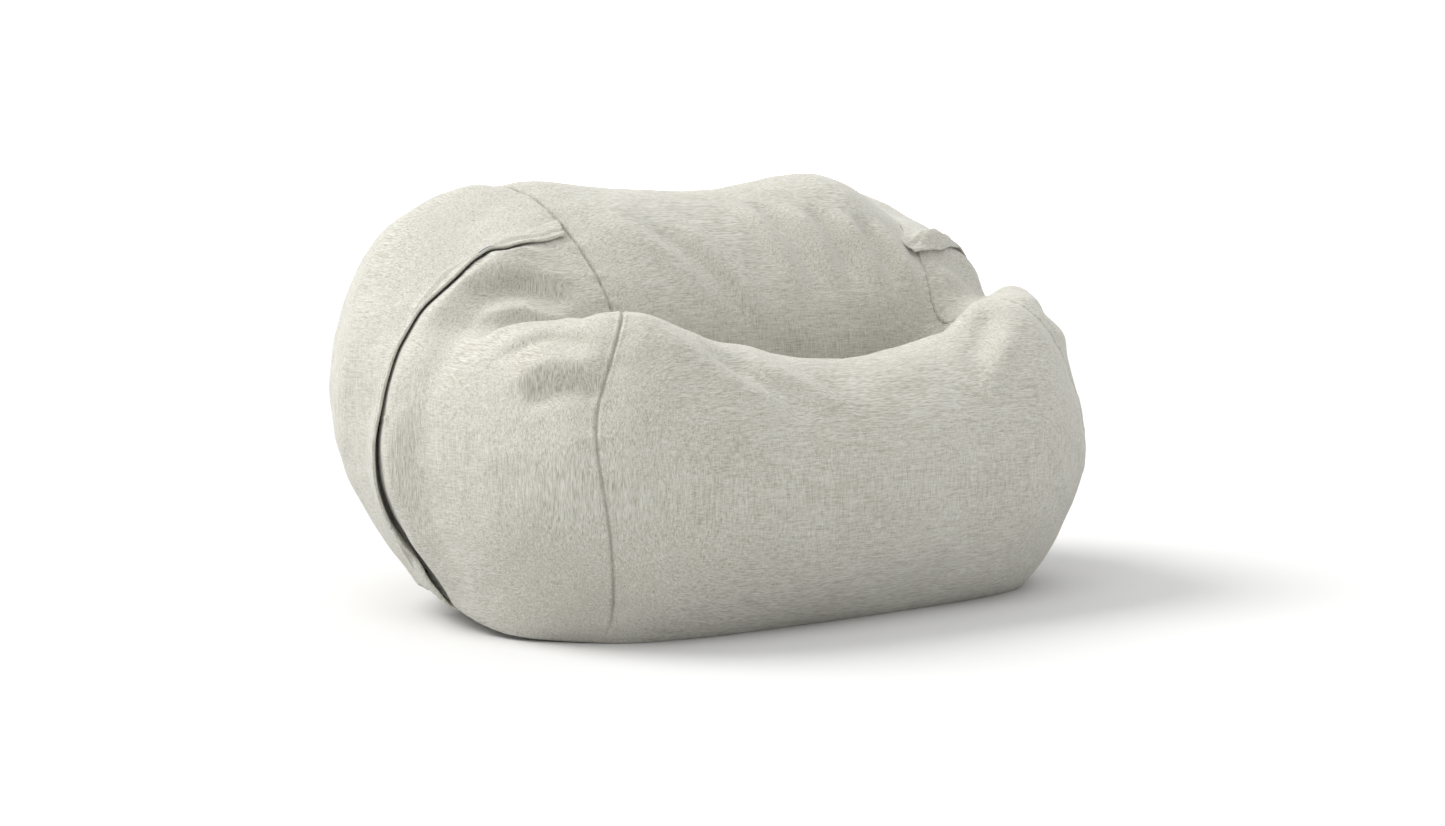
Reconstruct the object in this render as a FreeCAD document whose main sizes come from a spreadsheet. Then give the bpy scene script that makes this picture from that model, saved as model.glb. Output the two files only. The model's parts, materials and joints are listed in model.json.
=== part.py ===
# Bean bag chair: sewn cover in five panels, two side zips under stand-off flaps,
# inner liner and foam fill.  Millimetres.  +X to the right seen from the front,
# -Y the front, +Z up.  The origin is the middle of the footprint, on the floor.
import FreeCAD, Part, Sketcher
import math
import os
from FreeCAD import Vector, Placement, Rotation

os.makedirs("parts", exist_ok=True)
doc = FreeCAD.newDocument("bean_bag_chair")

# ---------------------------------------------------------------- driving sizes
DIMS = {
    "end_x": 548.0,          # half width of the bag at the tip of a side panel
    "cover_thick": 3.0,      # lined linen cover
    "layer_gap": 1.0,        # air between cover, liner and fill
    "liner_thick": 2.0,
    "split_z": 300.0,        # height where the front seam starts to lean inwards
    "front_seam_x": 435.0,   # half width of the front panel below split_z
    "crown_seam_y": 92.0,    # seam behind the crown of the backrest
    "height_clear": 720.0,   # anything taller than the bag
    "zip_radius": 285.0,     # zip circle, at the middle of the groove's floor
    "groove_half": 17.0,
    "slot_half": 12.0,       # half width of the opening that the zip closes
    "tape_thick": 1.0,
    "tape_inner": 0.6,
    "tape_outer": 15.5,
    "coil_half": 2.5,
    "coil_top": 3.4,         # heights are above the groove's floor
    "slider_foot": 1.5,
    "slider_roof": 3.9,
    "slider_top": 7.0,
    "slider_half": 4.6,
    "slider_inner": 2.9,
    "slider_long": 12.0,
    "arch_half": 2.4,
    "arch_reach": 4.4,
    "arch_gap": 3.2,         # half length of the opening under the arch
    "arch_under": 10.0,
    "arch_top": 11.2,
    "pull_pin": 8.5,         # centre of the pull's cross bar
    "pull_bar": 0.7,         # half thickness of the pull
    "pull_half": 4.7,
    "pull_inner": 3.1,
    "pull_neck": 7.2,
    "pull_long": 27.0,
    "stop_half": 4.0,
    "flap_under": 18.0,
    "flap_over": 23.0,
    "flap_front": 21.0,
    "flap_back": 22.0,
    "flap_foot": 6.0,
    "flap_edge": 1.5,        # bevel along the hem
    "label_thick": 0.8,
    "label_front": 15.0,
    "label_back": 4.0,
}
sheet = doc.addObject("Spreadsheet::Sheet", "Dims")
for row, (name, value) in enumerate(DIMS.items(), start=1):
    sheet.set("A%d" % row, name)
    sheet.set("B%d" % row, str(value))
    sheet.setAlias("B%d" % row, name)
doc.recompute()

# Each zip runs on a circle in an upright plane that is turned a little from square,
# so its upper end lies further forward.  Its tape lies on a cone, tilted outwards.
ZIP_CENTRE = Vector(-272, -37, 236)
ZIP_TURN = 19.3
ZIP_TILT = 25.0
GROOVE = (-36.0, 66.0)           # degrees round the circle, 0 is straight out
FLAP = (-37.0, 67.5)
TAPE = (-35.0, 65.0)
TEETH = (-33.5, 61.5)
SLIDER_REST = 58.0
POCKET_FRONT, POCKET_FLOOR = 26.0, 15.0   # room for the flap over the side panel
LABEL = (59.5, 64.5)


def zip_place(angle, out=0.0, tilt=0.0):
    """Local X points out of the zip circle, Y along it, Z square to its plane."""
    turn = math.radians(ZIP_TURN)
    outwards = Vector(-math.cos(turn), math.sin(turn), 0)
    square = Vector(math.sin(turn), math.cos(turn), 0)
    frame = Rotation(outwards, Vector(0, 0, 1), square, "XYZ")
    place = Placement(ZIP_CENTRE, frame)
    place = place.multiply(Placement(Vector(), Rotation(Vector(0, 0, 1), angle)))
    place = place.multiply(Placement(Vector(out, 0, 0), Rotation()))
    return place.multiply(Placement(Vector(), Rotation(Vector(0, 1, 0), tilt)))


# ------------------------------------------------------------------ bag surface
# Outlines in planes of constant X, as (Y, Z).  Order: below the floor, front base,
# front belly, shoulder, top of roll, inside of roll, crease, low rest, middle rest,
# crown, upper back, back belly, back base.
OUTLINES = (
    (0, ((-18, -108), (-305, 0), (-395, 150), (-380, 280), (-295, 355), (-215, 320), (-165, 240),
         (-145, 320), (-120, 460), (10, 585), (200, 520), (375, 270), (270, 0))),
    (200, ((-20, -105), (-300, 0), (-390, 150), (-375, 290), (-290, 380), (-215, 355), (-165, 280),
           (-145, 350), (-110, 480), (20, 610), (210, 535), (370, 270), (260, 0))),
    (340, ((-30, -92), (-275, 0), (-370, 155), (-355, 310), (-275, 415), (-200, 410), (-145, 385),
           (-110, 415), (-60, 490), (70, 605), (240, 550), (355, 270), (215, 0))),
    (450, ((-40, -50), (-180, 0), (-315, 160), (-295, 310), (-230, 400), (-160, 410), (-100, 400),
           (-60, 418), (0, 472), (110, 560), (230, 510), (310, 270), (100, 0))),
    (520, ((5, 75), (-90, 90), (-210, 190), (-190, 300), (-140, 350), (-90, 360), (-40, 370),
           (10, 380), (50, 402), (120, 432), (190, 390), (220, 250), (100, 110))),
)
END_RINGS = ((0.9903, 0.44), (0.9995, 0.11))   # share of end_x, share of last outline
Y_SHIFT = 11.4                    # puts the middle of the footprint at the origin


def inward(points, inset):
    """Move a closed outline towards its inside by inset."""
    moved = []
    count = len(points)
    for i, (y, z) in enumerate(points):
        before, after = points[i - 1], points[(i + 1) % count]
        ty, tz = after[0] - before[0], after[1] - before[1]
        size = math.hypot(ty, tz)
        moved.append((y - inset * tz / size, z + inset * ty / size))
    return moved


def ring(x, points):
    curve = Part.BSplineCurve()
    curve.interpolate([Vector(x, y + Y_SHIFT, z) for y, z in points],
                      PeriodicFlag=True)
    return Part.Wire(curve.toShape())


def half_rings(inset):
    end = DIMS["end_x"]
    share = (end - inset) / end
    rings = []
    for x, points in OUTLINES:
        rings.append((x * share, inward(points, -inset)))
    last = rings[-1][1]
    middle_y = sum(p[0] for p in last) / len(last)
    middle_z = sum(p[1] for p in last) / len(last)
    for along, scale in END_RINGS:
        small = [(middle_y + (y - middle_y) * scale, middle_z + (z - middle_z) * scale)
                 for y, z in last]
        rings.append((end * share * along, small))
    return rings


def zip_groove(inset):
    """The channel that sets the zip back below the surface, for one layer."""
    half = DIMS["groove_half"] + inset
    profile = ((-inset, -half), (POCKET_FLOOR - inset, -half),
               (POCKET_FLOOR - inset, -POCKET_FRONT - inset),
               (90, -POCKET_FRONT - inset), (90, half), (-inset, half))
    widen = math.degrees(inset / DIMS["zip_radius"])
    start = GROOVE[0] - widen
    section = zip_place(start, DIMS["zip_radius"], ZIP_TILT)
    corners = [section.multVec(Vector(out, 0, across)) for out, across in profile]
    face = Part.Face(Part.makePolygon(corners + [corners[0]]))
    axis = zip_place(0).Rotation.multVec(Vector(0, 0, 1))
    return face.revolve(ZIP_CENTRE, axis, GROOVE[1] - GROOVE[0] + 2 * widen)


def half_bag(inset, bottom, past_middle=0.0):
    """The left half of the bag, pushed in by inset, with a flat base and the groove."""
    right = half_rings(inset)
    left = [(-x, points) for x, points in right[:0:-1]]
    wires = [ring(x, points) for x, points in left + right]
    loft = Part.makeLoft(wires, True, False)
    keep = Part.makeBox(700 + past_middle, 1400, 900, Vector(-700, -700, bottom))
    return loft.common(keep).cut(zip_groove(inset)).Solids[0]


# ------------------------------------------------------------- document helpers
def shaped(name, shape):
    feature = doc.addObject("Part::Feature", name)
    feature.Shape = shape
    return feature


def boolean(kind, name, base, tool):
    feature = doc.addObject("Part::" + kind, name)
    feature.Base, feature.Tool = base, tool
    feature.Refine = False
    return feature


def cut(name, base, tool):
    return boolean("Cut", name, base, tool)


def common(name, base, tool):
    return boolean("Common", name, base, tool)


def fuse(name, first, second):
    return boolean("Fuse", name, first, second)


def mirrored(name, source):
    feature = doc.addObject("Part::Mirroring", name)
    feature.Source = source
    feature.Normal = Vector(1, 0, 0)
    return feature


def whole(name, half):
    """A half and its mirror image joined on the middle plane."""
    return fuse(name, half, mirrored(name + "_mirror", half))


def total(terms):
    """Value and spreadsheet formula of a signed sum of driving sizes."""
    value, formula = 0.0, ""
    for term in terms.split():
        sign = -1 if term[0] == "-" else 1
        name = term.lstrip("+-")
        value += sign * DIMS[name]
        formula += (" - " if sign < 0 else " + ") + "Dims." + name
    return value, formula[3:] if formula.startswith(" + ") else formula.strip()


def plane(body, role):
    return [f for f in body.Origin.OriginFeatures if f.Role == role][0]


def polygons(body, role, name, loops):
    """A sketch of closed polygons whose corners are sums of driving sizes."""
    sketch = body.newObject("Sketcher::SketchObject", name)
    sketch.AttachmentSupport = [(plane(body, role), "")]
    sketch.MapMode = "FlatFace"
    for loop in loops:
        first = sketch.GeometryCount
        corners = [(total(u), total(v)) for u, v in loop]
        for i, (u, v) in enumerate(corners):
            after = corners[(i + 1) % len(corners)]
            sketch.addGeometry(Part.LineSegment(Vector(u[0], v[0], 0),
                                                Vector(after[0][0], after[1][0], 0)), False)
        for i, corner in enumerate(corners):
            line = first + i
            before = first + (i - 1) % len(corners)
            sketch.addConstraint(Sketcher.Constraint("Coincident", before, 2, line, 1))
            for kind, (value, formula) in zip(("DistanceX", "DistanceY"), corner):
                index = sketch.addConstraint(
                    Sketcher.Constraint(kind, -1, 1, line, 1, value))
                if formula:
                    sketch.setExpression("Constraints[%d]" % index, formula)
    return sketch


def new_body(name, placement):
    body = doc.addObject("PartDesign::Body", name)
    body.Placement = placement
    return body


def arc_strip(name, profile, arc):
    """A profile of (height, offset) above the groove's floor, swept along the zip."""
    body = new_body(name, zip_place(arc[0]))
    sketch = polygons(body, "XZ_Plane", name + "_profile", [profile])
    sketch.AttachmentOffset = Placement(Vector(DIMS["zip_radius"], 0, 0),
                                        Rotation(Vector(0, 0, 1), -ZIP_TILT))
    sketch.setExpression("AttachmentOffset.Base.x", "Dims.zip_radius")
    sweep = body.newObject("PartDesign::Revolution", name + "_sweep")
    sweep.Profile = sketch
    sweep.ReferenceAxis = (plane(body, "Z_Axis"), [""])
    sweep.Angle = arc[1] - arc[0]
    doc.recompute()
    return body


def pad(body, sketch, length):
    feature = body.newObject("PartDesign::Pad", sketch.Name + "_pad")
    feature.Profile = sketch
    feature.Midplane = True
    feature.Length = total(length)[0]
    feature.setExpression("Length", total(length)[1])
    doc.recompute()
    return feature


def span(low_u, high_u, low_v, high_v):
    return [(low_u, low_v), (high_u, low_v), (high_u, high_v), (low_u, high_v)]


# --------------------------------------------------------------- cover and core
SEAM = ((435, -420), (435, -330), (420, -300), (365, -265), (330, -205), (300, -145),
        (297, -60), (312, -1), (338, 81))     # half width and Y of the front seams


def seam_prism(name, half_widths, low, high):
    """The part of the bag between the two seams of the front and backrest."""
    right = [Vector(x, y + Y_SHIFT, low) for x, y in half_widths]
    left = [Vector(-p.x, p.y, p.z) for p in right]
    edges = []
    for points in (right, left):
        curve = Part.BSplineCurve()
        curve.interpolate(points)
        edges.append(curve.toShape())
    edges.append(Part.makeLine(right[0], left[0]))
    edges.append(Part.makeLine(right[-1], left[-1]))
    face = Part.Face(Part.Wire(Part.__sortEdges__(edges)))
    return shaped(name, face.extrude(Vector(0, 0, high - low)))


def rear_prism(name):
    """Everything behind the two zip planes, and behind the seam over the crown."""
    inner = zip_place(0, 30).Base
    outer = zip_place(0, 520).Base
    left = [Vector(outer.x, outer.y, 0), Vector(inner.x, inner.y, 0),
            Vector(-305, 10, 0), Vector(-330, DIMS["crown_seam_y"], 0)]
    right = [Vector(-p.x, p.y, 0) for p in reversed(left)]
    back = [Vector(-outer.x, 700, 0), Vector(outer.x, 700, 0)]
    loop = left + right + back
    face = Part.Face(Part.makePolygon(loop + [loop[0]]))
    return shaped(name, face.extrude(Vector(0, 0, DIMS["height_clear"])))


cover = DIMS["cover_thick"]
liner_at = cover + DIMS["layer_gap"]
liner_in = liner_at + DIMS["liner_thick"]
fill_at = liner_in + DIMS["layer_gap"]
MARGIN = 20.0                     # a cutting form runs past the face that it cuts
form = shaped("half_outside", half_bag(0, 0))
fill = whole("foam_fill", shaped("half_fill", half_bag(fill_at, fill_at)))
liner = whole("inner_liner", cut(
    "half_liner", shaped("half_liner_outside", half_bag(liner_at, liner_at)),
    shaped("half_liner_inside", half_bag(liner_in, liner_in, MARGIN))))

slot = arc_strip(
    "zip_slot", span("-flap_foot", "+flap_under", "-slot_half", "+slot_half"), TAPE)
closed = cut("cover_closed", shaped("half_walls_outside", half_bag(0, cover)),
             shaped("half_walls_inside", half_bag(cover, -MARGIN, MARGIN)))

base_zone = doc.addObject("Part::Box", "base_zone")
base_zone.Placement = Placement(Vector(-700, -700, 0), Rotation())
base_zone.Length = base_zone.Width = 1400
base_zone.setExpression("Height", "Dims.cover_thick")
low_zone = doc.addObject("Part::Box", "front_low_zone")
low_zone.setExpression("Length", "2 * Dims.front_seam_x")
low_zone.setExpression("Height", "Dims.split_z")
low_zone.Width = 500
low_zone.Placement = Placement(Vector(0, -600, 0), Rotation())
low_zone.setExpression("Placement.Base.x", "-Dims.front_seam_x")
high_zone = seam_prism("front_high_zone", SEAM, DIMS["split_z"], DIMS["height_clear"])
strip_zone = fuse("front_zone", low_zone, high_zone)
rear_zone = rear_prism("rear_zone")

ahead = cut("ahead_of_zips", closed, rear_zone)
base_panel = whole("base_panel", common("half_base", form, base_zone))
rear_panel = whole("rear_panel", cut("half_rear", common("rear_closed", closed, rear_zone), slot))
front_panel = whole("front_panel", common("half_front", ahead, strip_zone))
side_left = cut("side_panel_left", cut("side_closed", ahead, strip_zone), slot)
side_right = mirrored("side_panel_right", side_left)

# ------------------------------------------------------------------ zips, flaps
flap_profile = [
    ("+flap_under", "-flap_front +flap_edge"), ("+flap_under +flap_edge", "-flap_front"),
    ("+flap_over -flap_edge", "-flap_front"), ("+flap_over", "-flap_front +flap_edge"),
    ("+flap_over", "+flap_back"), ("-flap_foot", "+flap_back"),
    ("-flap_foot", "+groove_half"), ("+flap_under", "+groove_half")]
tape_front = span("", "+tape_thick", "-tape_outer", "-tape_inner")
tape_rear = span("", "+tape_thick", "+tape_inner", "+tape_outer")
teeth = span("+tape_thick", "+coil_top", "-coil_half", "+coil_half")
stop = span("+tape_thick", "+slider_roof", "-stop_half", "+stop_half")
label = span("+flap_over", "+flap_over +label_thick", "-label_front", "-label_back")

flap_ring = arc_strip("flap_ring", flap_profile, FLAP)
left_nodes = {
    "flap_hem": cut("flap_hem_left", flap_ring, form),
    "zip_tape_front": arc_strip("zip_tape_front_left", tape_front, TAPE),
    "zip_tape_rear": arc_strip("zip_tape_rear_left", tape_rear, TAPE),
    "zip_coil": arc_strip("zip_coil_left", teeth, TEETH),
    "zip_top_stop": arc_strip("zip_top_stop_left", stop, (TEETH[1] + 0.2, TEETH[1] + 1.4)),
    "zip_end_stop": arc_strip("zip_end_stop_left", stop, (TEETH[0] - 1.2, TEETH[0] - 0.2)),
}
woven_label = arc_strip("woven_label", label, LABEL)

slider = new_body("zip_slider_left", zip_place(SLIDER_REST, DIMS["zip_radius"], ZIP_TILT))
shoe = polygons(slider, "XZ_Plane", "slider_shoe", [[
    ("+slider_foot", "-slider_half"), ("+slider_foot", "-slider_inner"),
    ("+slider_roof", "-slider_inner"), ("+slider_roof", "+slider_inner"),
    ("+slider_foot", "+slider_inner"), ("+slider_foot", "+slider_half"),
    ("+slider_top", "+slider_half"), ("+slider_top", "-slider_half")]])
pad(slider, shoe, "+slider_long")
arch = polygons(slider, "XY_Plane", "slider_arch", [[
    ("+slider_top", "-arch_reach"), ("+slider_top", "-arch_gap"),
    ("+arch_under", "-arch_gap"), ("+arch_under", "+arch_gap"),
    ("+slider_top", "+arch_gap"), ("+slider_top", "+arch_reach"),
    ("+arch_top", "+arch_reach"), ("+arch_top", "-arch_reach")]])
pad(slider, arch, "+arch_half +arch_half")
left_nodes["zip_slider"] = slider

pin = zip_place(SLIDER_REST, DIMS["zip_radius"], ZIP_TILT).multiply(
    Placement(Vector(DIMS["pull_pin"], 0, 0), Rotation()))
pull = new_body("zip_pull_left", pin)
plate = polygons(pull, "YZ_Plane", "pull_plate", [
    span("-pull_long", "+pull_bar", "-pull_half", "+pull_half"),
    span("-pull_neck", "-pull_bar", "-pull_inner", "+pull_inner")])
pad(pull, plate, "+pull_bar +pull_bar")
left_nodes["zip_pull"] = pull

# ---------------------------------------------------------------------- write
nodes = {
    "front_panel": front_panel, "side_panel_left": side_left,
    "side_panel_right": side_right, "rear_panel": rear_panel, "base_panel": base_panel,
    "inner_liner": liner, "foam_fill": fill, "woven_label": woven_label,
}
for name, feature in left_nodes.items():
    nodes[name + "_left"] = feature
    nodes[name + "_right"] = mirrored(name + "_right", feature)
doc.recompute()

problems = [o.Name for o in doc.Objects if "Invalid" in o.State or "Error" in o.State]
for name, feature in nodes.items():
    feature.Label = name
    shape = feature.Shape
    if shape.isNull() or not shape.isValid() or not shape.Solids:
        problems.append(name)
if problems:
    raise RuntimeError("features that failed: " + ", ".join(problems))
for name, feature in nodes.items():
    feature.Shape.exportStep("parts/" + name + ".step")
    print("%-22s %d solid  %10.0f mm3" % (
        name, len(feature.Shape.Solids), feature.Shape.Volume))
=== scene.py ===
import json
import math

import bmesh
import bpy
import numpy as np
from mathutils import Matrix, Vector, noise
from mathutils.bvhtree import BVHTree


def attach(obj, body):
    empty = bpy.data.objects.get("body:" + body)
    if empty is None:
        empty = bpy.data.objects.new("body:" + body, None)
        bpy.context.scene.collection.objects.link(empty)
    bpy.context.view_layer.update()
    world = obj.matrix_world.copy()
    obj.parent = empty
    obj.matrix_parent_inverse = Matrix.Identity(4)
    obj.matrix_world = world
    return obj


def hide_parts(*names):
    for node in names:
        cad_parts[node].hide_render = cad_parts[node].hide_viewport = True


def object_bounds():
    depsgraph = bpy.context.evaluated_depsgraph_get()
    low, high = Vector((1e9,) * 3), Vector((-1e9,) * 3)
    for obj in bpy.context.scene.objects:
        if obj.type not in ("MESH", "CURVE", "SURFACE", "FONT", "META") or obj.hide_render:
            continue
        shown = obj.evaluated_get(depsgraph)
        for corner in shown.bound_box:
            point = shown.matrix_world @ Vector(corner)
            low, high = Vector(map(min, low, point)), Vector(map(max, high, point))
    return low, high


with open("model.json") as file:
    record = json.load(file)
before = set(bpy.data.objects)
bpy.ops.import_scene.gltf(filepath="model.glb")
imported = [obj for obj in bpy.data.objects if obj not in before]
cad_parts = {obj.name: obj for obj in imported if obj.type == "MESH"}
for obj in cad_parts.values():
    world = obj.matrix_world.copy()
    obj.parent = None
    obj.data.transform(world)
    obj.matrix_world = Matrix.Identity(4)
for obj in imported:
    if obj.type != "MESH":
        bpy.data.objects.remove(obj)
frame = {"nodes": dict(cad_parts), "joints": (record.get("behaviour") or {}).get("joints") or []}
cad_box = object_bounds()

# Everything is in metres, in the frame of the CAD part: -Y is the front, +Z is up.
Y_SHIFT = 0.0114            # puts the middle of the footprint at the origin
END_X = 0.548
SEAM_S = 0.55               # grid line that runs along the front seams
LEFT_ZIP = next(joint for joint in frame["joints"] if joint["name"] == "zip_left")
ZIP_CENTRE = Vector(LEFT_ZIP["pos_m"])
ZIP_TURN = math.atan2(abs(LEFT_ZIP["axis"][0]), abs(LEFT_ZIP["axis"][1]))
ZIP_TILT = math.radians(25.0)
ZIP_RADIUS = 0.285
CHANNEL = 0.013             # half width of the channel that the zip lies in

# Outlines in planes of constant X, as (Y, Z): under, front base, front belly, shoulder,
# top of roll, inside of roll, crease, low rest, middle rest, crown, upper back, back belly,
# back base.
OUTLINES = (
    (0.000, ((-.018, -.108), (-.305, 0), (-.395, .150), (-.380, .280), (-.295, .355),
             (-.215, .320), (-.165, .240), (-.145, .320), (-.120, .460), (.010, .585),
             (.200, .520), (.375, .270), (.270, 0))),
    (0.200, ((-.020, -.105), (-.300, 0), (-.390, .150), (-.375, .290), (-.290, .380),
             (-.215, .355), (-.165, .280), (-.145, .350), (-.110, .480), (.020, .610),
             (.210, .535), (.370, .270), (.260, 0))),
    (0.340, ((-.030, -.092), (-.275, 0), (-.370, .155), (-.355, .310), (-.275, .415),
             (-.200, .410), (-.145, .385), (-.110, .415), (-.060, .490), (.070, .605),
             (.240, .550), (.355, .270), (.215, 0))),
    (0.450, ((-.040, -.050), (-.180, 0), (-.315, .160), (-.295, .310), (-.230, .400),
             (-.160, .410), (-.100, .400), (-.060, .418), (0, .472), (.110, .560),
             (.230, .510), (.310, .270), (.100, 0))),
    (0.520, ((.005, .075), (-.090, .090), (-.210, .190), (-.190, .300), (-.140, .350),
             (-.090, .360), (-.040, .370), (.010, .380), (.050, .402), (.120, .432),
             (.190, .390), (.220, .250), (.100, .110))),
)
SEAM_LEFT = (.385, .385, .432, .435, .368, .33, .292, .275, .285, .315, .345, .38, .40)
SEAM_RIGHT = (.42, .42, .442, .435, .37, .34, .325, .325, .34, .365, .375, .40, .42)
CROWN_SEAM = 9.45 / 13      # place of the seam behind the crown, round the outline


# ------------------------------------------------------------------ small maths
def smooth(t):
    t = np.clip(t, 0.0, 1.0)
    return t * t * (3 - 2 * t)


def periodic_spline(values, at):
    """Closed cubic through evenly spaced values (n, k) at parameters 0 to 1."""
    values = np.asarray(values, float)
    n = len(values)
    system = np.zeros((n, n))
    for i in range(n):
        system[i, i] = 4.0
        system[i, (i + 1) % n] += 1.0
        system[i, (i - 1) % n] += 1.0
    slope = np.linalg.solve(system, 3.0 * (np.roll(values, -1, 0) - np.roll(values, 1, 0)))
    u = (np.asarray(at) % 1.0) * n
    i = np.floor(u).astype(int) % n
    t = (u - np.floor(u))[:, None]
    a, b, ma, mb = values[i], values[(i + 1) % n], slope[i], slope[(i + 1) % n]
    return ((2 * t**3 - 3 * t**2 + 1) * a + (t**3 - 2 * t**2 + t) * ma
            + (-2 * t**3 + 3 * t**2) * b + (t**3 - t**2) * mb)


def monotone(xs, ys, at):
    """Shape-preserving cubic through (xs, ys), ys of shape (n, k)."""
    xs, ys, at = np.asarray(xs, float), np.asarray(ys, float), np.asarray(at, float)
    step = np.diff(xs)[:, None]
    rise = np.diff(ys, axis=0) / step
    slope = np.zeros_like(ys)
    w1, w2 = 2 * step[1:] + step[:-1], step[1:] + 2 * step[:-1]
    same = rise[:-1] * rise[1:] > 0
    with np.errstate(divide="ignore", invalid="ignore"):
        mean = (w1 + w2) / (w1 / rise[:-1] + w2 / rise[1:])
    slope[1:-1] = np.where(same, mean, 0.0)
    slope[0], slope[-1] = rise[0], rise[-1]
    i = np.clip(np.searchsorted(xs, at, side="right") - 1, 0, len(xs) - 2)
    span = (xs[i + 1] - xs[i])[:, None]
    t = (at - xs[i])[:, None] / span
    return ((2 * t**3 - 3 * t**2 + 1) * ys[i] + (t**3 - 2 * t**2 + t) * span * slope[i]
            + (-2 * t**3 + 3 * t**2) * ys[i + 1] + (t**3 - t**2) * span * slope[i + 1])


def curve_through(points, count):
    """Smooth open line of count points through a few points."""
    points = np.asarray(points, float)
    if len(points) == 2:
        return points[0] + (points[1] - points[0]) * np.linspace(0, 1, count)[:, None]
    ends = np.vstack([2 * points[0] - points[1], points, 2 * points[-1] - points[-2]])
    u = np.linspace(0, len(points) - 1, count)
    i = np.minimum(u.astype(int), len(points) - 2)
    t = (u - i)[:, None]
    a, b, c, d = ends[i], ends[i + 1], ends[i + 2], ends[i + 3]
    return 0.5 * (2 * b + (c - a) * t + (2 * a - 5 * b + 4 * c - d) * t**2
                  + (3 * b - a - 3 * c + d) * t**3)


def normals_of(grid):
    du = np.gradient(grid, axis=0)
    dv = (np.roll(grid, -1, 1) - np.roll(grid, 1, 1)) / 2
    n = np.cross(du, dv)
    n /= np.linalg.norm(n, axis=-1, keepdims=True) + 1e-12
    return n


# ------------------------------------------------------------------ the bag's surface
def columns():
    """Grid lines from tip to tip, closer together at the two seams."""
    wide = np.linspace(-SEAM_S, SEAM_S, 151)
    side = np.linspace(SEAM_S, 1.0, 72)[1:]
    lines = np.concatenate([-side[::-1], wide, side])
    near = [SEAM_S + d for d in (-.016, -.012, -.0085, -.006, -.004, -.0026, -.0014, -.0006,
                                 .0006, .0014, .0026, .004, .006, .0085, .012, .016)]
    return np.unique(np.round(np.concatenate([lines, near, [-d for d in near]]), 5))


ROWS = 442                  # a multiple of the outline's 13 points
s_lines = columns()
t_lines = np.arange(ROWS) / ROWS


def bag_grid():
    xs = [x for x, _ in OUTLINES]
    shapes = np.array([periodic_spline([(y + Y_SHIFT, z) for y, z in points], t_lines)
                       for _, points in OUTLINES])
    centre = np.mean([(y + Y_SHIFT, z) for y, z in OUTLINES[-1][1]], axis=0)
    angle = list(np.arcsin(np.array(xs) / END_X)) + [math.pi / 2]
    shapes = np.concatenate([shapes, np.broadcast_to(centre, (1, ROWS, 2))])
    angles = np.concatenate([-np.array(angle[:0:-1]), angle])
    shapes = np.concatenate([shapes[:0:-1], shapes])
    seams = periodic_spline(np.array([SEAM_LEFT, SEAM_RIGHT]).T, t_lines)
    grid = np.zeros((len(s_lines), ROWS, 3))
    share = np.abs(s_lines)
    for j in range(ROWS):
        seam = np.where(s_lines < 0, seams[j, 0], seams[j, 1])
        edge = np.arcsin(seam / END_X)
        inner = np.arcsin(np.clip(seam * share / SEAM_S / END_X, 0, 1))
        outer = edge + (share - SEAM_S) / (1 - SEAM_S) * (math.pi / 2 - edge)
        phi = np.where(share <= SEAM_S, inner, outer) * np.sign(s_lines)
        grid[:, j, 0] = END_X * np.sin(phi)
        grid[:, j, 1:] = monotone(angles, shapes[:, j], phi)
    grid[..., 2] = np.maximum(grid[..., 2], 0.0)
    return grid


def zip_axes(side):
    """Outwards, up and rearwards directions of the zip plane on one side, -1 is left."""
    out = Vector((side * math.cos(ZIP_TURN), math.sin(ZIP_TURN), 0))
    rear = Vector((-side * math.sin(ZIP_TURN), math.cos(ZIP_TURN), 0))
    centre = Vector((-side * ZIP_CENTRE.x, ZIP_CENTRE.y, ZIP_CENTRE.z))
    return centre, out, Vector((0, 0, 1)), rear


def behind_zip(points):
    """Distance of points behind the zip plane of their own side."""
    side = np.where(points[..., 0] < 0, -1.0, 1.0)
    x = points[..., 0] + side * ZIP_CENTRE.x
    y = points[..., 1] - ZIP_CENTRE.y
    return -side * math.sin(ZIP_TURN) * x + math.cos(ZIP_TURN) * y


def zip_coordinates(points, side):
    """Radius, angle in degrees and distance behind the plane, about one zip circle."""
    centre, out, up, rear = (np.array(v) for v in zip_axes(side))
    away = points - centre
    a, b, v = away @ out, away @ up, away @ rear
    return np.hypot(a, b), np.degrees(np.arctan2(b, a)), v


def zip_point(side, angle, v, radius):
    centre, out, up, rear = zip_axes(side)
    angle = math.radians(angle)
    return centre + rear * v + (out * math.cos(angle) + up * math.sin(angle)) * radius


def fill_out_at_zips(grid):
    """Rounds the bag out under the flaps, so that they lie close to it."""
    for side in (-1, 1):
        centre, out, up, rear = (np.array(v) for v in zip_axes(side))
        radius, angle, v = zip_coordinates(grid, side)
        window = (smooth((.12 - np.abs(v)) / .09) * smooth((angle + 52) / 14)
                  * smooth((82 - angle) / 14) * smooth((radius - .25) / .02)
                  * (grid[..., 0] * side > 0))
        grow = np.maximum(0.0, .302 - radius) * window
        turn = np.radians(angle)[..., None]
        grid += grow[..., None] * (np.cos(turn) * out + np.sin(turn) * up)
    return grid


# Where one real bag has settled unevenly: centre, reach and push of each change, in metres
PUSHES = (((.420, -.130, .400), .130, (0, 0, .027)),
          ((.530, -.140, .260), .200, (-.030, 0, 0)),
          ((-.480, .070, .020), .150, (.008, 0, .044)),
          ((.360, .090, .590), .085, (-.004, 0, -.030)),
          ((.465, .050, .460), .090, (.024, 0, .020)),
          ((-.390, .100, .570), .100, (.018, 0, -.020)),
          ((-.170, .020, .610), .110, (0, 0, -.022)),
          ((-.365, -.255, .405), .060, (0, 0, .014)))


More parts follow.
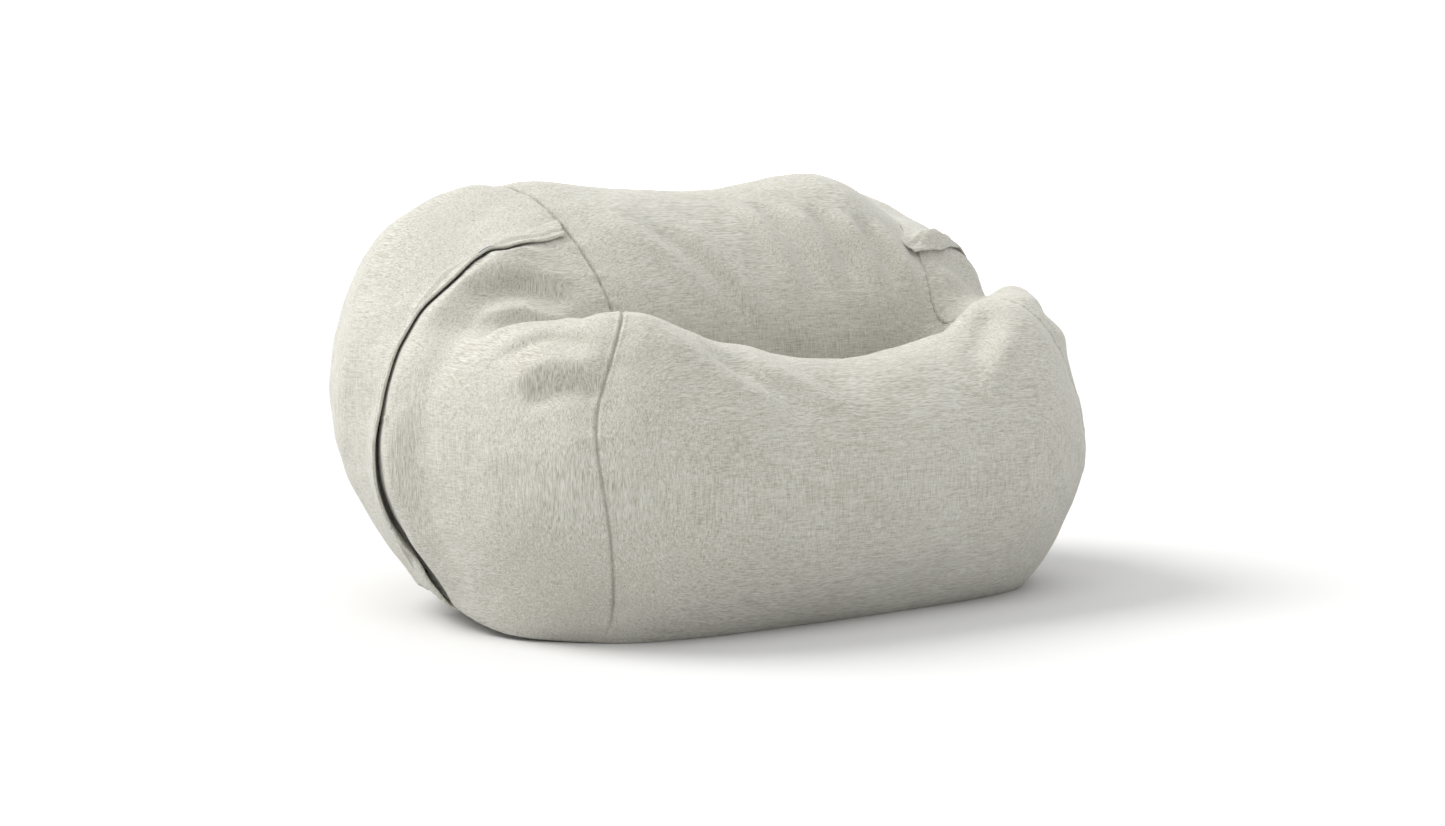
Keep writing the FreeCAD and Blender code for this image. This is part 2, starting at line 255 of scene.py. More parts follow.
def settle(grid):
    for centre, reach, push in PUSHES:
        near = np.linalg.norm(grid - np.array(centre), axis=-1)
        grid = grid + np.exp(-(near / reach) ** 2)[..., None] * np.array(push)
    grid[..., 2] = np.maximum(grid[..., 2], 0.0)
    return grid


def surface_tree(grid):
    verts = grid.reshape(-1, 3).tolist()
    count = len(s_lines)
    faces = [(i * ROWS + j, (i + 1) * ROWS + j, (i + 1) * ROWS + (j + 1) % ROWS,
              i * ROWS + (j + 1) % ROWS) for i in range(count - 1) for j in range(ROWS)]
    return BVHTree.FromPolygons(verts, faces)


class Folds:
    """Adds ridges and creases along lines laid on the surface."""

    def __init__(self, grid, normal):
        self.grid, self.normal = grid, normal
        self.tree = surface_tree(grid)
        self.lift = np.zeros(grid.shape[:2])

    def add(self, points, height, width, start, end):
        line = np.array([self.tree.find_nearest(Vector(p))[0]
                         for p in curve_through(points, 28)])
        low, high = line.min(0) - 4 * width, line.max(0) + 4 * width
        inside = np.all((self.grid > low) & (self.grid < high), axis=-1)
        if not inside.any():
            return
        here, facing = self.grid[inside], self.normal[inside]
        best = np.full(len(here), 1e9)
        place = np.zeros(len(here))
        for k in range(len(line) - 1):
            run = line[k + 1] - line[k]
            t = np.clip((here - line[k]) @ run / (run @ run), 0, 1)
            d = np.linalg.norm(here - line[k] - t[:, None] * run, axis=1)
            closer = d < best
            best[closer] = d[closer]
            place[closer] = (k + t[closer]) / (len(line) - 1)
        profile = np.exp(-(best / width) ** 2)
        taper = smooth(place / max(start, 1e-3)) * smooth((1 - place) / max(end, 1e-3))
        self.lift[inside] += height * profile * taper

    def add_fan(self, root_a, root_b, tip_a, tip_b, rise, sizes, start, end):
        """Evenly spaced folds from the line root_a-root_b to the line tip_a-tip_b."""
        for k, (height, width) in enumerate(sizes):
            share = k / (len(sizes) - 1)
            root = share_of_box(*root_a).lerp(share_of_box(*root_b), share)
            tip = share_of_box(*tip_a).lerp(share_of_box(*tip_b), share)
            middle = root.lerp(tip, .5) + Vector((0, 0, rise))
            self.add((root, middle, tip), height, width, start, end)


def share_of_box(x, y, z):
    """Point at shares of the CAD box: x and y of half its width and depth, z of its height."""
    low, high = (Vector(corner) for corner in cad_box)
    middle = (low + high) / 2
    return Vector((middle.x + x * (high.x - middle.x), middle.y + y * (high.y - middle.y),
                   low.z + z * (high.z - low.z)))


RIDGE, SOFT_RIDGE = (.010, .015), (.007, .020)
CREASE, SOFT_CREASE = (-.009, .013), (-.006, .020)
# Each fan: first and last root, first and last tip, all as shares of the CAD box; rise of the
# middle of a fold; its folds in turn, as (height, width); length of the fade at root and tip.
FANS = (
    # left side panel, from the front seam round the flank
    ((-.55, -.20, .75), (-.75, -.80, .55), (-.80, .10, .75), (-.90, -.55, .50), .02,
     (RIDGE, CREASE, RIDGE, CREASE, RIDGE, CREASE, RIDGE, CREASE), .22, .35),
    # right side panel, the same with fewer and softer folds
    ((.60, -.25, .75), (.70, -.75, .60), (.80, -.15, .70), (.85, -.60, .55), .02,
     (SOFT_RIDGE, SOFT_CREASE, SOFT_RIDGE, SOFT_CREASE, SOFT_RIDGE), .4, .4),
    # backrest, short folds down from the crown at the right
    ((.00, .00, .95), (.45, -.10, .90), (.10, -.30, .70), (.50, -.30, .70), .01,
     (RIDGE, CREASE, RIDGE, CREASE, RIDGE, CREASE, RIDGE), .35, .35),
    # backrest, long soft drags at the left
    ((-.45, -.05, .90), (-.25, -.10, .90), (-.15, -.30, .65), (.00, -.30, .60), .01,
     (SOFT_RIDGE, SOFT_CREASE, SOFT_RIDGE), .35, .35),
    # front panel, soft drags down from both ends of the roll
    ((-.65, -.70, .70), (-.35, -.80, .60), (-.30, -.95, .45), (-.10, -.95, .45), .01,
     (SOFT_RIDGE, SOFT_CREASE, SOFT_RIDGE), .35, .4),
    ((.60, -.50, .70), (.55, -.75, .65), (.35, -.70, .65), (.30, -.95, .45), .01,
     (SOFT_RIDGE, SOFT_CREASE, SOFT_RIDGE), .35, .4),
)


def sculpt(grid):
    """Folds, seams and the slight unevenness of a stuffed bag."""
    normal = normals_of(grid)
    folds = Folds(grid, normal)
    add = folds.add
    for fan in FANS:
        folds.add_fan(*fan)
    # rear panel and behind: broad creases that settle towards the base
    for side in (-1, 1):
        add(((side * .300, .230, .520), (side * .380, .260, .400),
             (side * .400, .300, .280)), .006, .045, .4, .5)
        add(((side * .480, .120, .430), (side * .500, .170, .300),
             (side * .470, .220, .160)), .005, .040, .4, .4)
        add(((side * .150, .330, .400), (side * .180, .372, .250)), -.005, .035, .5, .5)
    add(((-.060, .300, .440), (.010, .370, .300), (.030, .378, .180)), .005, .045, .5, .5)
    lift = folds.lift

    # unevenness of the fill, and fine puckers in the cloth
    flat = grid.reshape(-1, 3)
    broad = np.array([noise.fractal(Vector(p) * 6.0, 0.6, 2.0, 3) for p in flat])
    fine = np.array([noise.noise(Vector((p[0] * 26, p[1] * 26, p[2] * 22))) for p in flat])
    lift = lift + .0040 * broad.reshape(lift.shape) + .0011 * fine.reshape(lift.shape)
    unsewn = grid + normal * (lift * smooth(grid[..., 2] / .05))[..., None]

    # the two long seams draw the cloth in; puckers run off them
    seam_line = np.array([np.argmin(np.abs(s_lines - sign * SEAM_S)) for sign in (-1, 1)])
    away = np.min([np.linalg.norm(grid - grid[k][None], axis=2) for k in seam_line], axis=0)
    turns = t_lines[None] * 2 * math.pi
    pucker = np.sin(turns * 47 + 3 * np.sin(turns * 5)) * np.sin(turns * 19 + 1.3)
    sewn = np.ones(ROWS)
    crown = int(CROWN_SEAM * ROWS)
    sewn[crown:int(12.4 / 13 * ROWS)] = 0.0
    sewn = np.convolve(np.tile(sewn, 3), np.hanning(9) / np.hanning(9).sum(), "same")[ROWS:2 * ROWS]
    lift = lift - sewn[None] * (.0042 * np.exp(-(away / .0019) ** 2)
                                - .0009 * np.exp(-((away - .0052) / .0024) ** 2)
                                + .0038 * np.exp(-(away / .024) ** 2)
                                - .0014 * pucker * np.exp(-(away / .016) ** 2))
    # seam behind the crown
    over = np.abs(np.arange(ROWS) - crown) * 2.2 / ROWS
    across = smooth((SEAM_S + .01 - np.abs(s_lines)) / .02)
    lift = lift - across[:, None] * (.0060 * np.exp(-(over / .0045) ** 2)
                                     + .0040 * np.exp(-(over / .02) ** 2))[None]
    # nothing lifts where the bag stands on the floor
    lift = lift * smooth(grid[..., 2] / .05)
    whole = grid + normal * lift[..., None]
    # side panels tuck in under the flaps
    behind = behind_zip(grid)
    outer = smooth((np.abs(s_lines) - SEAM_S) / .05)[:, None]
    tuck = smooth((behind + .065) / .035) * smooth((.012 - behind) / .006)
    deep = .0022 + .0035 * smooth((.36 - grid[..., 2]) / .25)
    tucked = whole - normal * (outer * tuck * deep * smooth(grid[..., 2] / .05))[..., None]
    return unsewn, tucked


# ------------------------------------------------------------------ pieces
def link(name, mesh, body="cover"):
    piece = bpy.data.objects.new(name, mesh)
    bpy.context.scene.collection.objects.link(piece)
    for face in mesh.polygons:
        face.use_smooth = True
    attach(piece, body)
    return piece


def grid_mesh(grid):
    """One closed bmesh from a grid; the face layer holds each face's place on the grid."""
    bm = bmesh.new()
    mark = bm.faces.layers.int.new("strip")
    rows = [[bm.verts.new(p) for p in column] for column in grid[1:-1]]
    tips = [bm.verts.new(grid[k].mean(0)) for k in (0, -1)]
    for i in range(len(rows) - 1):
        mid = (s_lines[i + 1] + s_lines[i + 2]) / 2
        for j in range(ROWS):
            k = (j + 1) % ROWS
            face = bm.faces.new((rows[i][j], rows[i + 1][j], rows[i + 1][k], rows[i][k]))
            around = (j + .5) / ROWS
            if abs(mid) > SEAM_S:
                face[mark] = 1
            elif around > CROWN_SEAM:
                face[mark] = 2
    for tip, row in ((tips[0], rows[0]), (tips[1], rows[-1])):
        for j in range(ROWS):
            face = bm.faces.new((row[j], row[(j + 1) % ROWS], tip))
            face[mark] = 1
    bmesh.ops.recalc_face_normals(bm, faces=bm.faces[:])
    return bm, mark


PANELS = ("front_panel", "side_panel_left", "side_panel_right", "rear_panel", "base_panel")
OPENING = (-36.0, 66.0)


def cut_at_zips(bm, mark):
    """Clean edges along the zips: where panels meet, and round each opening."""
    for side in (-1, 1):
        centre, out, up, rear = zip_axes(side)
        for v in (-CHANNEL, 0.0, CHANNEL):
            near = [f for f in bm.faces if f[mark] == 1 and f.calc_center_median().x * side > 0]
            geom = list({e for f in near for e in f.edges}) + near
            bmesh.ops.bisect_plane(bm, geom=geom, plane_co=centre + rear * v, plane_no=rear,
                                   dist=1e-6)
        for angle in OPENING:
            turn = math.radians(angle)
            across = -out * math.sin(turn) + up * math.cos(turn)
            near = [f for f in bm.faces if f[mark] == 1 and f.calc_center_median().x * side > 0
                    and abs((f.calc_center_median() - centre) @ rear) < CHANNEL
                    and (f.calc_center_median() - centre) @ out > 0]
            geom = list({e for f in near for e in f.edges}) + near
            bmesh.ops.bisect_plane(bm, geom=geom, plane_co=centre, plane_no=across, dist=1e-6)


def panel_of(face, mark):
    """Panel a face belongs to; nothing for faces in a zip opening."""
    middle = face.calc_center_median()
    if middle.z < 4e-4:
        return "base_panel"
    if face[mark] == 0:
        return "front_panel"
    if face[mark] == 2:
        return "rear_panel"
    side = -1 if middle.x < 0 else 1
    radius, angle, v = zip_coordinates(np.array(middle), side)
    if abs(v) < CHANNEL and OPENING[0] < angle < OPENING[1] and radius > .2:
        return None
    if v > 0:
        return "rear_panel"
    return "side_panel_left" if side < 0 else "side_panel_right"


def lip_point(point):
    """Where an opening's edge turns down to the zip tape."""
    side = -1 if point.x < 0 else 1
    radius, angle, v = zip_coordinates(np.array(point), side)
    floor = ZIP_RADIUS + math.tan(ZIP_TILT) * v + .0012
    return zip_point(side, angle, v, min(floor, radius - .002))


def in_opening(vert):
    side = -1 if vert.co.x < 0 else 1
    radius, angle, v = zip_coordinates(np.array(vert.co), side)
    return (abs(v) < CHANNEL + 1e-4 and OPENING[0] - .05 < angle < OPENING[1] + .05
            and radius > .25)


def split_panels(grid):
    bm, mark = grid_mesh(grid)
    cut_at_zips(bm, mark)
    belongs = {}
    for face in bm.faces:
        belongs.setdefault(panel_of(face, mark), []).append(face)
    pieces = {}
    for name in PANELS:
        part = bmesh.new()
        made = {}
        for face in belongs[name]:
            corners = []
            for vert in face.verts:
                if vert not in made:
                    made[vert] = part.verts.new(vert.co)
                corners.append(made[vert])
            part.faces.new(corners)
        rim = [e for e in part.edges if e.is_boundary
               and in_opening(e.verts[0]) and in_opening(e.verts[1])]
        if rim:
            grown = bmesh.ops.extrude_edge_only(part, edges=rim)
            for vert in grown["geom"]:
                if isinstance(vert, bmesh.types.BMVert):
                    vert.co = lip_point(vert.co)
            bmesh.ops.subdivide_edges(
                part, cuts=2, use_grid_fill=True,
                edges=[e for e in {e for v in grown["geom"] if isinstance(v, bmesh.types.BMVert)
                                   for e in v.link_edges} if not e.is_boundary])
        bmesh.ops.recalc_face_normals(part, faces=part.faces[:])
        mesh = bpy.data.meshes.new(name + "_cloth")
        part.to_mesh(mesh)
        part.free()
        pieces[name] = link(name + "_cloth", mesh)
    bm.free()
    return pieces


# edge of the flap, in millimetres behind the zip plane, at angles up the side of the bag
FLAP_EDGE = ((-52, -62), (-45, -54), (-38, -42), (-30, -32), (-20, -28), (-8, -30), (5, -34),
             (20, -36), (32, -29), (45, -21), (60, -15), (68, -13), (76, -10), (84, -4))
FLAP_EDGE_RIGHT = ((-52, -62), (-38, -42), (-20, -28), (20, -30), (35, -30), (48, -36),
                   (60, -42), (70, -44), (84, -44))

HEM_WIDTH = .021            # from the edge to the row of stitches
HEM_ROOT = .032             # where the hem runs into the rear panel


def flap_frame(side):
    """Angles up the zip, edge offsets, hem widths and roots of a flap."""
    angles = np.linspace(-50, 84, 269)
    edge = np.interp(angles, *zip(*(FLAP_EDGE if side < 0 else FLAP_EDGE_RIGHT))) / 1000
    edge = np.convolve(np.pad(edge, 12, "edge"), np.ones(25) / 25, "valid")
    edge = edge + .0007 * np.sin(angles * .31) * np.sin(angles * .113 + side)
    # width of the hem from its edge to its stitches, and where it runs into the rear panel
    top = smooth((angles - 66) / 14)
    band = HEM_WIDTH - (.011 if side < 0 else .004) * top
    root = np.maximum(HEM_ROOT, edge + 1.6 * band) * (1 - top) + (edge + band + .012) * top
    return angles, edge, band, root


def surface_radius(tree, side, angle, v):
    centre, out, up, rear = zip_axes(side)
    turn = math.radians(angle)
    ray = out * math.cos(turn) + up * math.sin(turn)
    hit, _, _, _ = tree.ray_cast(centre + rear * v + ray * .5, -ray)
    return (hit - centre - rear * v).length if hit else None


# (share of the band behind the edge, extra behind it, height, share of the lift)
FLAP_SECTION = ((2, .0060, -.0040, 0), (2, .0000, -.0006, 0), (1.7, .0, .0006, 0),
                (1.3, .0, .0011, .05), (1, .0050, .0014, .12), (1, .0024, .0022, .16),
                (1, .0010, .0036, .2), (1, -.0008, .0040, .22), (1, -.0024, .0030, .25),
                (1, -.0040, .0022, .3), (1, -.0065, .0026, .38), (.55, 0, .0036, .6),
                (.35, 0, .0042, .75), (.18, 0, .0046, .9), (0, .0022, .0048, 1),
                (0, .0010, .0044, 1), (0, .0002, .0033, 1),
                (0, .0000, .0020, 1), (0, .0006, .0008, 1), (0, .0022, .0002, 1),
                (0, .0060, .0002, .95), (.6, 0, .0000, .5), (1, 0, -.0006, .2),
                (1.5, 0, -.0020, .0), (2, .0030, -.0060, 0))


def flap_heights(side, tree):
    angles, edge, band, root = flap_frame(side)
    table = np.zeros((len(angles), len(FLAP_SECTION), 2))
    for i, angle in enumerate(angles):
        lift = np.interp(angle, (-50, -35, -12, 15, 50, 72, 84),
                         (.001, .0045, .0040, .0014, .0012, .0012, .0006))
        if side > 0:
            lift += .009 * smooth((angle - 48) / 20)
        for k, (share, extra, height, raised) in enumerate(FLAP_SECTION):
            v = edge[i] + min(share, 1) * band[i] + extra
            if share > 1:
                v += (root[i] - edge[i] - band[i]) * (share - 1)
            ground = surface_radius(tree, side, angle, v)
            table[i, k] = v, (ground or np.nan) + height + raised * lift
    radii = table[..., 1]
    for k in range(radii.shape[1]):
        good = np.isfinite(radii[:, k])
        radii[:, k] = np.interp(angles, angles[good], radii[good, k])
        radii[:, k] = np.convolve(np.pad(radii[:, k], 3, "edge"), np.hanning(9)[1:-1] / 4.0, "valid")
    return angles, edge, band, table


def make_flap(side, tree):
    name = "left" if side < 0 else "right"
    angles, edge, band, table = flap_heights(side, tree)
    bm = bmesh.new()
    rings = []
    for i, angle in enumerate(angles):
        ring = []
        for v, radius in table[i]:
            point = zip_point(side, angle, v, radius)
            point.z = max(point.z, .0015)
            ring.append(bm.verts.new(point))
        rings.append(ring)
    count = len(FLAP_SECTION)
    for a, b in zip(rings, rings[1:]):
        for k in range(count):
            m = (k + 1) % count
            bm.faces.new((a[k], a[m], b[m], b[k]))
    for ring in (rings[0], rings[-1]):
        bm.faces.new(ring)
    bmesh.ops.recalc_face_normals(bm, faces=bm.faces[:])
    mesh = bpy.data.meshes.new("flap_" + name)
    bm.to_mesh(mesh)
    bm.free()
    flap = link("flap_cloth_" + name, mesh)
    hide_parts("flap_hem_" + name)
    return flap, angles, edge, band, table


def on_band(angles, edge, table, side, angle, behind, above):
    """A point above the outer face of the flap, behind its edge by a distance."""
    i = int(np.argmin(np.abs(angles - angle)))
    outer = table[i, :15]
    v = edge[i] + behind
    radius = np.interp(v, outer[::-1, 0], outer[::-1, 1])
    return zip_point(side, angle, v, radius + above)


def make_stitches(side, shape):
    """A row of thread stitches beside the flap's ridge."""
    angles, edge, band, table = shape
    bm = bmesh.new()
    step = math.degrees(.0036 / .31)
    here = angles[0] + 3
    while here < angles[-1] - .5:
        ends = [on_band(angles, edge, table, side, here + d * step,
                        np.interp(here, angles, band) - .0045, h)
                for d, h in ((0, -.0005), (.2, .0003), (.5, .0004), (.75, -.0005))]
        along = (ends[-1] - ends[0]).normalized()
        up = zip_axes(side)[3].cross(along).normalized()
        wide = along.cross(up).normalized()
        rings = [[bm.verts.new(p + (wide * math.cos(a) + up * math.sin(a)) * .00045)
                  for a in (0, 1.257, 2.513, 3.77, 5.027)] for p in ends]
        for a, b in zip(rings, rings[1:]):
            for k in range(5):
                bm.faces.new((a[k], a[(k + 1) % 5], b[(k + 1) % 5], b[k]))
        bm.faces.new(rings[0][::-1])
        bm.faces.new(rings[-1])
        here += step
    name = "left" if side < 0 else "right"
    mesh = bpy.data.meshes.new("stitches_" + name)
    bm.to_mesh(mesh)
    bm.free()
    return link("flap_stitches_" + name, mesh)


LABEL_FROM, LABEL_TO = 60.2, 64.6     # degrees up the zip


def make_label(shape):
    """Small blank woven tag, folded flat and sewn on the left flap."""
    angles, edge, _, table = shape
    bm = bmesh.new()
    rows = []
    for angle in np.linspace(LABEL_FROM, LABEL_TO, 15):
        share = (angle - LABEL_FROM) / (LABEL_TO - LABEL_FROM)
        rim = .0012 * (1 - (2 * share - 1) ** 12)
        ring = []
        for behind in np.linspace(.0012, .0192, 13):
            inner = (behind - .0012) / .018
            high = rim * (1 - (2 * inner - 1) ** 12) + .0006
            ring.append(bm.verts.new(on_band(angles, edge, table, -1, angle, behind, high)))
        rows.append(ring)
    for a, b in zip(rows, rows[1:]):
        for k in range(len(a) - 1):
            bm.faces.new((a[k], a[k + 1], b[k + 1], b[k]))
    bmesh.ops.recalc_face_normals(bm, faces=bm.faces[:])
    mesh = bpy.data.meshes.new("label")
    bm.to_mesh(mesh)
    bm.free()
    label = link("woven_label_tag", mesh)
    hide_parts("woven_label")
    return label


def inner_shell(name, grid, depth):
    """A coarse closed skin inside the cover: the liner, or the fill that it holds."""
    coarse = grid[::3]
    normal = normals_of(grid)[::3]
    skin = (coarse - normal * depth)[:, ::2]
    skin[..., 2] = np.maximum(skin[..., 2], depth * .4)
    for side in (-1, 1):
        centre, out, up, rear = (np.array(v) for v in zip_axes(side))
        radius, angle, v = zip_coordinates(skin, side)
        window = (smooth((.06 - np.abs(v)) / .03) * smooth((angle + 55) / 12)
                  * smooth((80 - angle) / 8) * (skin[..., 0] * side > 0))
        turn = np.radians(angle)[..., None]
        sink = np.maximum(0.0, radius - (.290 - depth)) * window
        skin -= sink[..., None] * (np.cos(turn) * out + np.sin(turn) * up)
    bm = bmesh.new()
    rows = [[bm.verts.new(p) for p in column] for column in skin[1:-1]]
    for a, b in zip(rows, rows[1:]):
        for j in range(len(a)):
            k = (j + 1) % len(a)
            bm.faces.new((a[j], b[j], b[k], a[k]))
    for row in (rows[0], rows[-1]):
        bm.faces.new(row)
    bmesh.ops.recalc_face_normals(bm, faces=bm.faces[:])
    mesh = bpy.data.meshes.new(name)
    bm.to_mesh(mesh)
    bm.free()
    piece = link(name, mesh)
    return piece


# ------------------------------------------------------------------ materials
class Nodes:
    """Short hand for building a material's node tree."""

    def __init__(self, name):
        self.material = bpy.data.materials.new(name)
        self.material.use_nodes = True
        self.tree = self.material.node_tree
        self.shader = self.tree.nodes["Principled BSDF"]

    def feed(self, socket, value):
        if isinstance(value, bpy.types.NodeSocket):
            self.tree.links.new(value, socket)
        else:
            socket.default_value = value

    def math(self, operation, a, b=None, c=None):
        node = self.tree.nodes.new("ShaderNodeMath")
        node.operation = operation
        for socket, value in zip(node.inputs, (a, b, c)):
            if value is not None:
                self.feed(socket, value)
        return node.outputs[0]

    def noise(self, scale, stretch=(1, 1, 1), detail=2.0, rough=.5):
        place = self.tree.nodes.new("ShaderNodeTexCoord").outputs["Object"]
        mapping = self.tree.nodes.new("ShaderNodeMapping")
        self.feed(mapping.inputs["Vector"], place)
        mapping.inputs["Scale"].default_value = stretch
        node = self.tree.nodes.new("ShaderNodeTexNoise")
        self.feed(node.inputs["Vector"], mapping.outputs[0])
        node.inputs["Scale"].default_value = scale
        node.inputs["Detail"].default_value = detail
        node.inputs["Roughness"].default_value = rough
        return node.outputs[0]

    def ramp(self, value, stops):
        node = self.tree.nodes.new("ShaderNodeValToRGB")
        self.feed(node.inputs[0], value)
        marks = node.color_ramp.elements
        while len(marks) < len(stops):
            marks.new(0.5)
        for mark, (place, colour) in zip(marks, stops):
            mark.position = place
            mark.color = (*colour, 1)
        return node.outputs[0]

    def threads(self, along, across, detail=1.5):
        """Noise drawn out along the threads that run each way over the surface."""
        geometry = self.tree.nodes.new("ShaderNodeNewGeometry")
        parts = self.tree.nodes.new("ShaderNodeSeparateXYZ")
        self.feed(parts.inputs[0], geometry.outputs["True Normal"])
        total = weight = None
        for axis in range(3):
            stretch = [across] * 3
            stretch[axis] = along
            grain = self.noise(1.0, stretch, detail, .55)
            square = self.math("MULTIPLY", parts.outputs[axis], parts.outputs[axis])
            share = self.math("POWER", self.math("SUBTRACT", 1.0, square), 4.0)
            part = self.math("MULTIPLY", grain, share)
            total = part if total is None else self.math("ADD", total, part)
            weight = share if weight is None else self.math("ADD", weight, share)
        return self.math("DIVIDE", total, weight)

    def weave(self, pitch):
        """Height of a plain weave, as the sum of three crossed wave patterns."""
        place = self.tree.nodes.new("ShaderNodeTexCoord").outputs["Object"]
        parts = self.tree.nodes.new("ShaderNodeSeparateXYZ")
        self.feed(parts.inputs[0], place)
        waves = [self.math("SINE", self.math("MULTIPLY", parts.outputs[k], math.tau / pitch))
                 for k in range(3)]
        return self.math("ADD", self.math("ADD", waves[0], waves[1]), waves[2])

    def bump(self, height, distance, strength, before=None):
        node = self.tree.nodes.new("ShaderNodeBump")
        node.inputs["Distance"].default_value = distance
        node.inputs["Strength"].default_value = strength
        self.feed(node.inputs["Height"], height)
        if before is not None:
            self.feed(node.inputs["Normal"], before)
        return node.outputs[0]

    def finish(self, colour, normal, rough, **sockets):
        self.feed(self.shader.inputs["Base Color"], colour)
        if normal is not None:
            self.feed(self.shader.inputs["Normal"], normal)
        self.feed(self.shader.inputs["Roughness"], rough)
        for key, value in sockets.items():
            self.shader.inputs[key.replace("_", " ")].default_value = value
        return self.material


def linen(name, dark, middle, light):
    """Heathered slub linen: warm and cool threads, uneven along their length."""
    n = Nodes(name)
    fine = n.threads(75.0, 820.0, .6)
    coarse = n.threads(17.0, 430.0, .8)
    patch = n.noise(7.0, detail=3.0)
    mixed = n.math("ADD", n.math("MULTIPLY", fine, .66), n.math("MULTIPLY", coarse, .34))
    mixed = n.math("ADD", mixed, n.math("MULTIPLY", n.math("SUBTRACT", patch, .5), .10))
    spread = .135
    colour = n.ramp(mixed, ((.5 - spread, dark), (.5 - spread * .15, middle), (.5 + spread, light)))
    height = n.math("ADD", n.math("MULTIPLY", n.weave(.0012), .25), n.math("MULTIPLY", fine, .9))
    normal = n.bump(n.noise(34.0, detail=3.0), .004, .35)
    normal = n.bump(height, .0005, .5, normal)
    rough = n.math("ADD", .82, n.math("MULTIPLY", fine, .14))
    return n.finish(colour, normal, rough, Sheen_Weight=.25, Sheen_Roughness=.6,
                    Specular_IOR_Level=.22)


def plain_cloth(name, dark, light, pitch=.0007, rough=.8):
    n = Nodes(name)
    grain = n.threads(220.0, 1300.0)
    colour = n.ramp(grain, ((.38, dark), (.62, light)))
    normal = n.bump(n.math("ADD", n.weave(pitch), n.math("MULTIPLY", grain, 2.0)), .0003, .5)
    return n.finish(colour, normal, rough, Sheen_Weight=.15, Specular_IOR_Level=.25)


def satin_metal(name, colour):
    n = Nodes(name)
    wear = n.noise(420.0, detail=4.0)
    rough = n.math("ADD", .26, n.math("MULTIPLY", wear, .22))
    tint = n.ramp(wear, ((.3, [c * .82 for c in colour]), (.7, colour)))
    return n.finish(tint, n.bump(n.noise(1500.0), .0001, .3), rough, Metallic=1.0)


def toothed_plastic(name, colour):
    """Coil of the zip: close ribs across the strip, with painted shade in the grooves between them.
    """
    n = Nodes(name)
    ribs = n.math("SINE", n.math("MULTIPLY", n.noise(380.0, detail=0.0), 26.0))
    # painted shade: the colour darks to 0.6 of the coil's colour in the low grooves of the ribs,
    # where shade falls
    tint = n.ramp(ribs, ((.1, [c * .6 for c in colour]), (.9, colour)))
    return n.finish(tint, n.bump(ribs, .0005, .8), .42)


def crumbs(name):
    n = Nodes(name)
    place = n.tree.nodes.new("ShaderNodeTexVoronoi")
    place.inputs["Scale"].default_value = 55.0
    coordinates = n.tree.nodes.new("ShaderNodeTexCoord")
    n.feed(place.inputs["Vector"], coordinates.outputs["Object"])
    colour = n.ramp(place.outputs["Color"], ((.1, (.62, .58, .44)), (.5, (.74, .72, .66)),
                                             (.9, (.60, .66, .70))))
    return n.finish(colour, n.bump(place.outputs["Distance"], .01, .9), .95)


# ------------------------------------------------------------------ surroundings
def add_floor():
    bpy.ops.mesh.primitive_grid_add(x_subdivisions=8, y_subdivisions=8, size=40,
                                    location=(0, 0, -.0005))
    floor = bpy.context.object
    floor.name = "floor"
    n = Nodes("floor")
    patch = n.noise(.6, detail=1.0)
    floor.data.materials.append(n.finish(
        n.ramp(patch, ((0, (.63, .63, .63)), (1, (.65, .65, .65)))), None, .95,
        Specular_IOR_Level=0.0))


def add_backdrop():
    """A plain white screen far behind the chair."""
    bpy.ops.mesh.primitive_grid_add(x_subdivisions=4, y_subdivisions=4, size=1,
                                    location=(8.6, 11.0, 4.0))
    screen = bpy.context.object
    screen.name = "backdrop"
    screen.scale = (22, 9, 1)
    screen.rotation_euler = (math.radians(90), 0, -math.atan2(8.6, 11.0))
    n = Nodes("backdrop")
    n.shader.inputs["Emission Color"].default_value = (1, 1, 1, 1)
    screen.data.materials.append(n.finish((1, 1, 1, 1), None, 1.0, Emission_Strength=1.0))


def aim(thing, target):
    thing.rotation_euler = (Vector(target) - thing.location).to_track_quat("-Z", "Y").to_euler()


def soft_light(name, place, spread, strength, colour=(1, 1, 1)):
    """A broad studio light, far off, that falls evenly on the chair and the floor."""
    data = bpy.data.lights.new(name, "SUN")
    data.angle = math.radians(spread)
    data.energy = strength
    data.color = colour
    light = bpy.data.objects.new(name, data)
    light.location = place
    bpy.context.scene.collection.objects.link(light)
    aim(light, (0, 0, 0))


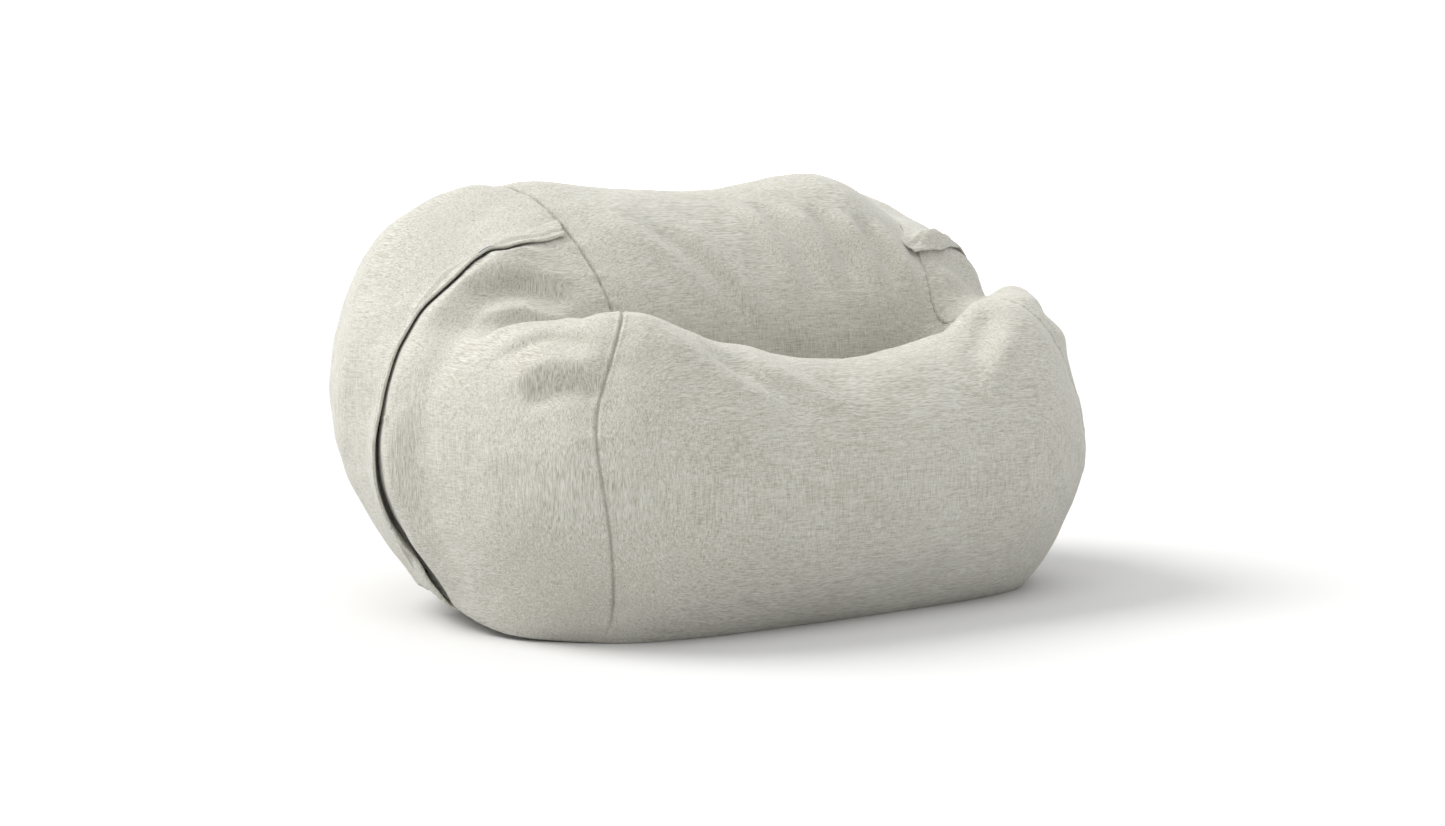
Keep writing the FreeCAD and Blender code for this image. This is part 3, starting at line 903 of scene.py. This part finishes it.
def surroundings():
    add_floor()
    add_backdrop()
    world = bpy.data.worlds.new("studio")
    world.use_nodes = True
    back = world.node_tree.nodes["Background"]
    back.inputs[0].default_value = (1.0, 1.0, 1.0, 1)
    back.inputs[1].default_value = .80
    bpy.context.scene.world = world
    soft_light("key", (-2.1, 2.3, 3.4), 34, 2.75, (1, .995, .98))
    soft_light("front_fill", (-1.9, -2.0, 3.8), 55, .80)
    bpy.context.scene.view_settings.view_transform = "Standard"
    data = bpy.data.cameras.new("camera")
    data.lens = 61
    data.sensor_width = 36
    camera = bpy.data.objects.new("camera", data)
    camera.location = (-2.210, -2.825, .600)
    bpy.context.scene.collection.objects.link(camera)
    aim(camera, (.006, .0114, .262))
    bpy.context.scene.camera = camera


# ------------------------------------------------------------------ the chair
base_grid = settle(fill_out_at_zips(bag_grid()))
unsewn_grid, sewn_grid = sculpt(base_grid)
tree = surface_tree(unsewn_grid)

panels = split_panels(sewn_grid)
for node_name, panel in panels.items():
    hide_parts(node_name)
liner = inner_shell("inner_liner_bag", base_grid, .018)
filling = inner_shell("foam_filling", base_grid, .024)
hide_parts("inner_liner")
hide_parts("foam_fill")

cover_linen = linen("cover_linen", (.33, .312, .257), (.45, .438, .380), (.565, .558, .515))
base_cloth = plain_cloth("base_fabric", (.30, .29, .26), (.40, .385, .35))
thread = plain_cloth("thread", (.55, .53, .48), (.68, .66, .60), .0004)

for side in (-1, 1):
    flap, *shape = make_flap(side, tree)
    stitches = make_stitches(side, shape)
    flap.data.materials.append(cover_linen)
    stitches.data.materials.append(thread)
    if side < 0:
        label = make_label(shape)
label.data.materials.append(plain_cloth("label", (.50, .49, .51), (.66, .65, .68), .0005))
for node_name, panel in panels.items():
    under = node_name == "base_panel"
    panel.data.materials.append(base_cloth if under else cover_linen)
liner.data.materials.append(plain_cloth("liner_fabric", (.74, .73, .70), (.84, .83, .80)))
filling.data.materials.append(crumbs("foam"))

hardware = {"zip_tape": plain_cloth("zip_tape", (.34, .32, .28), (.46, .44, .39)),
            "zip_coil": toothed_plastic("zip_coil", (.40, .38, .34)),
            "zip": satin_metal("zip_metal", (.62, .62, .63))}
for name in frame["nodes"]:
    for start in ("zip_tape", "zip_coil", "zip"):
        if name.startswith(start):
            thing = bpy.data.objects[name]
            for slot in thing.material_slots:
                slot.material = hardware[start]
            break

surroundings()
bpy.context.view_layer.update()
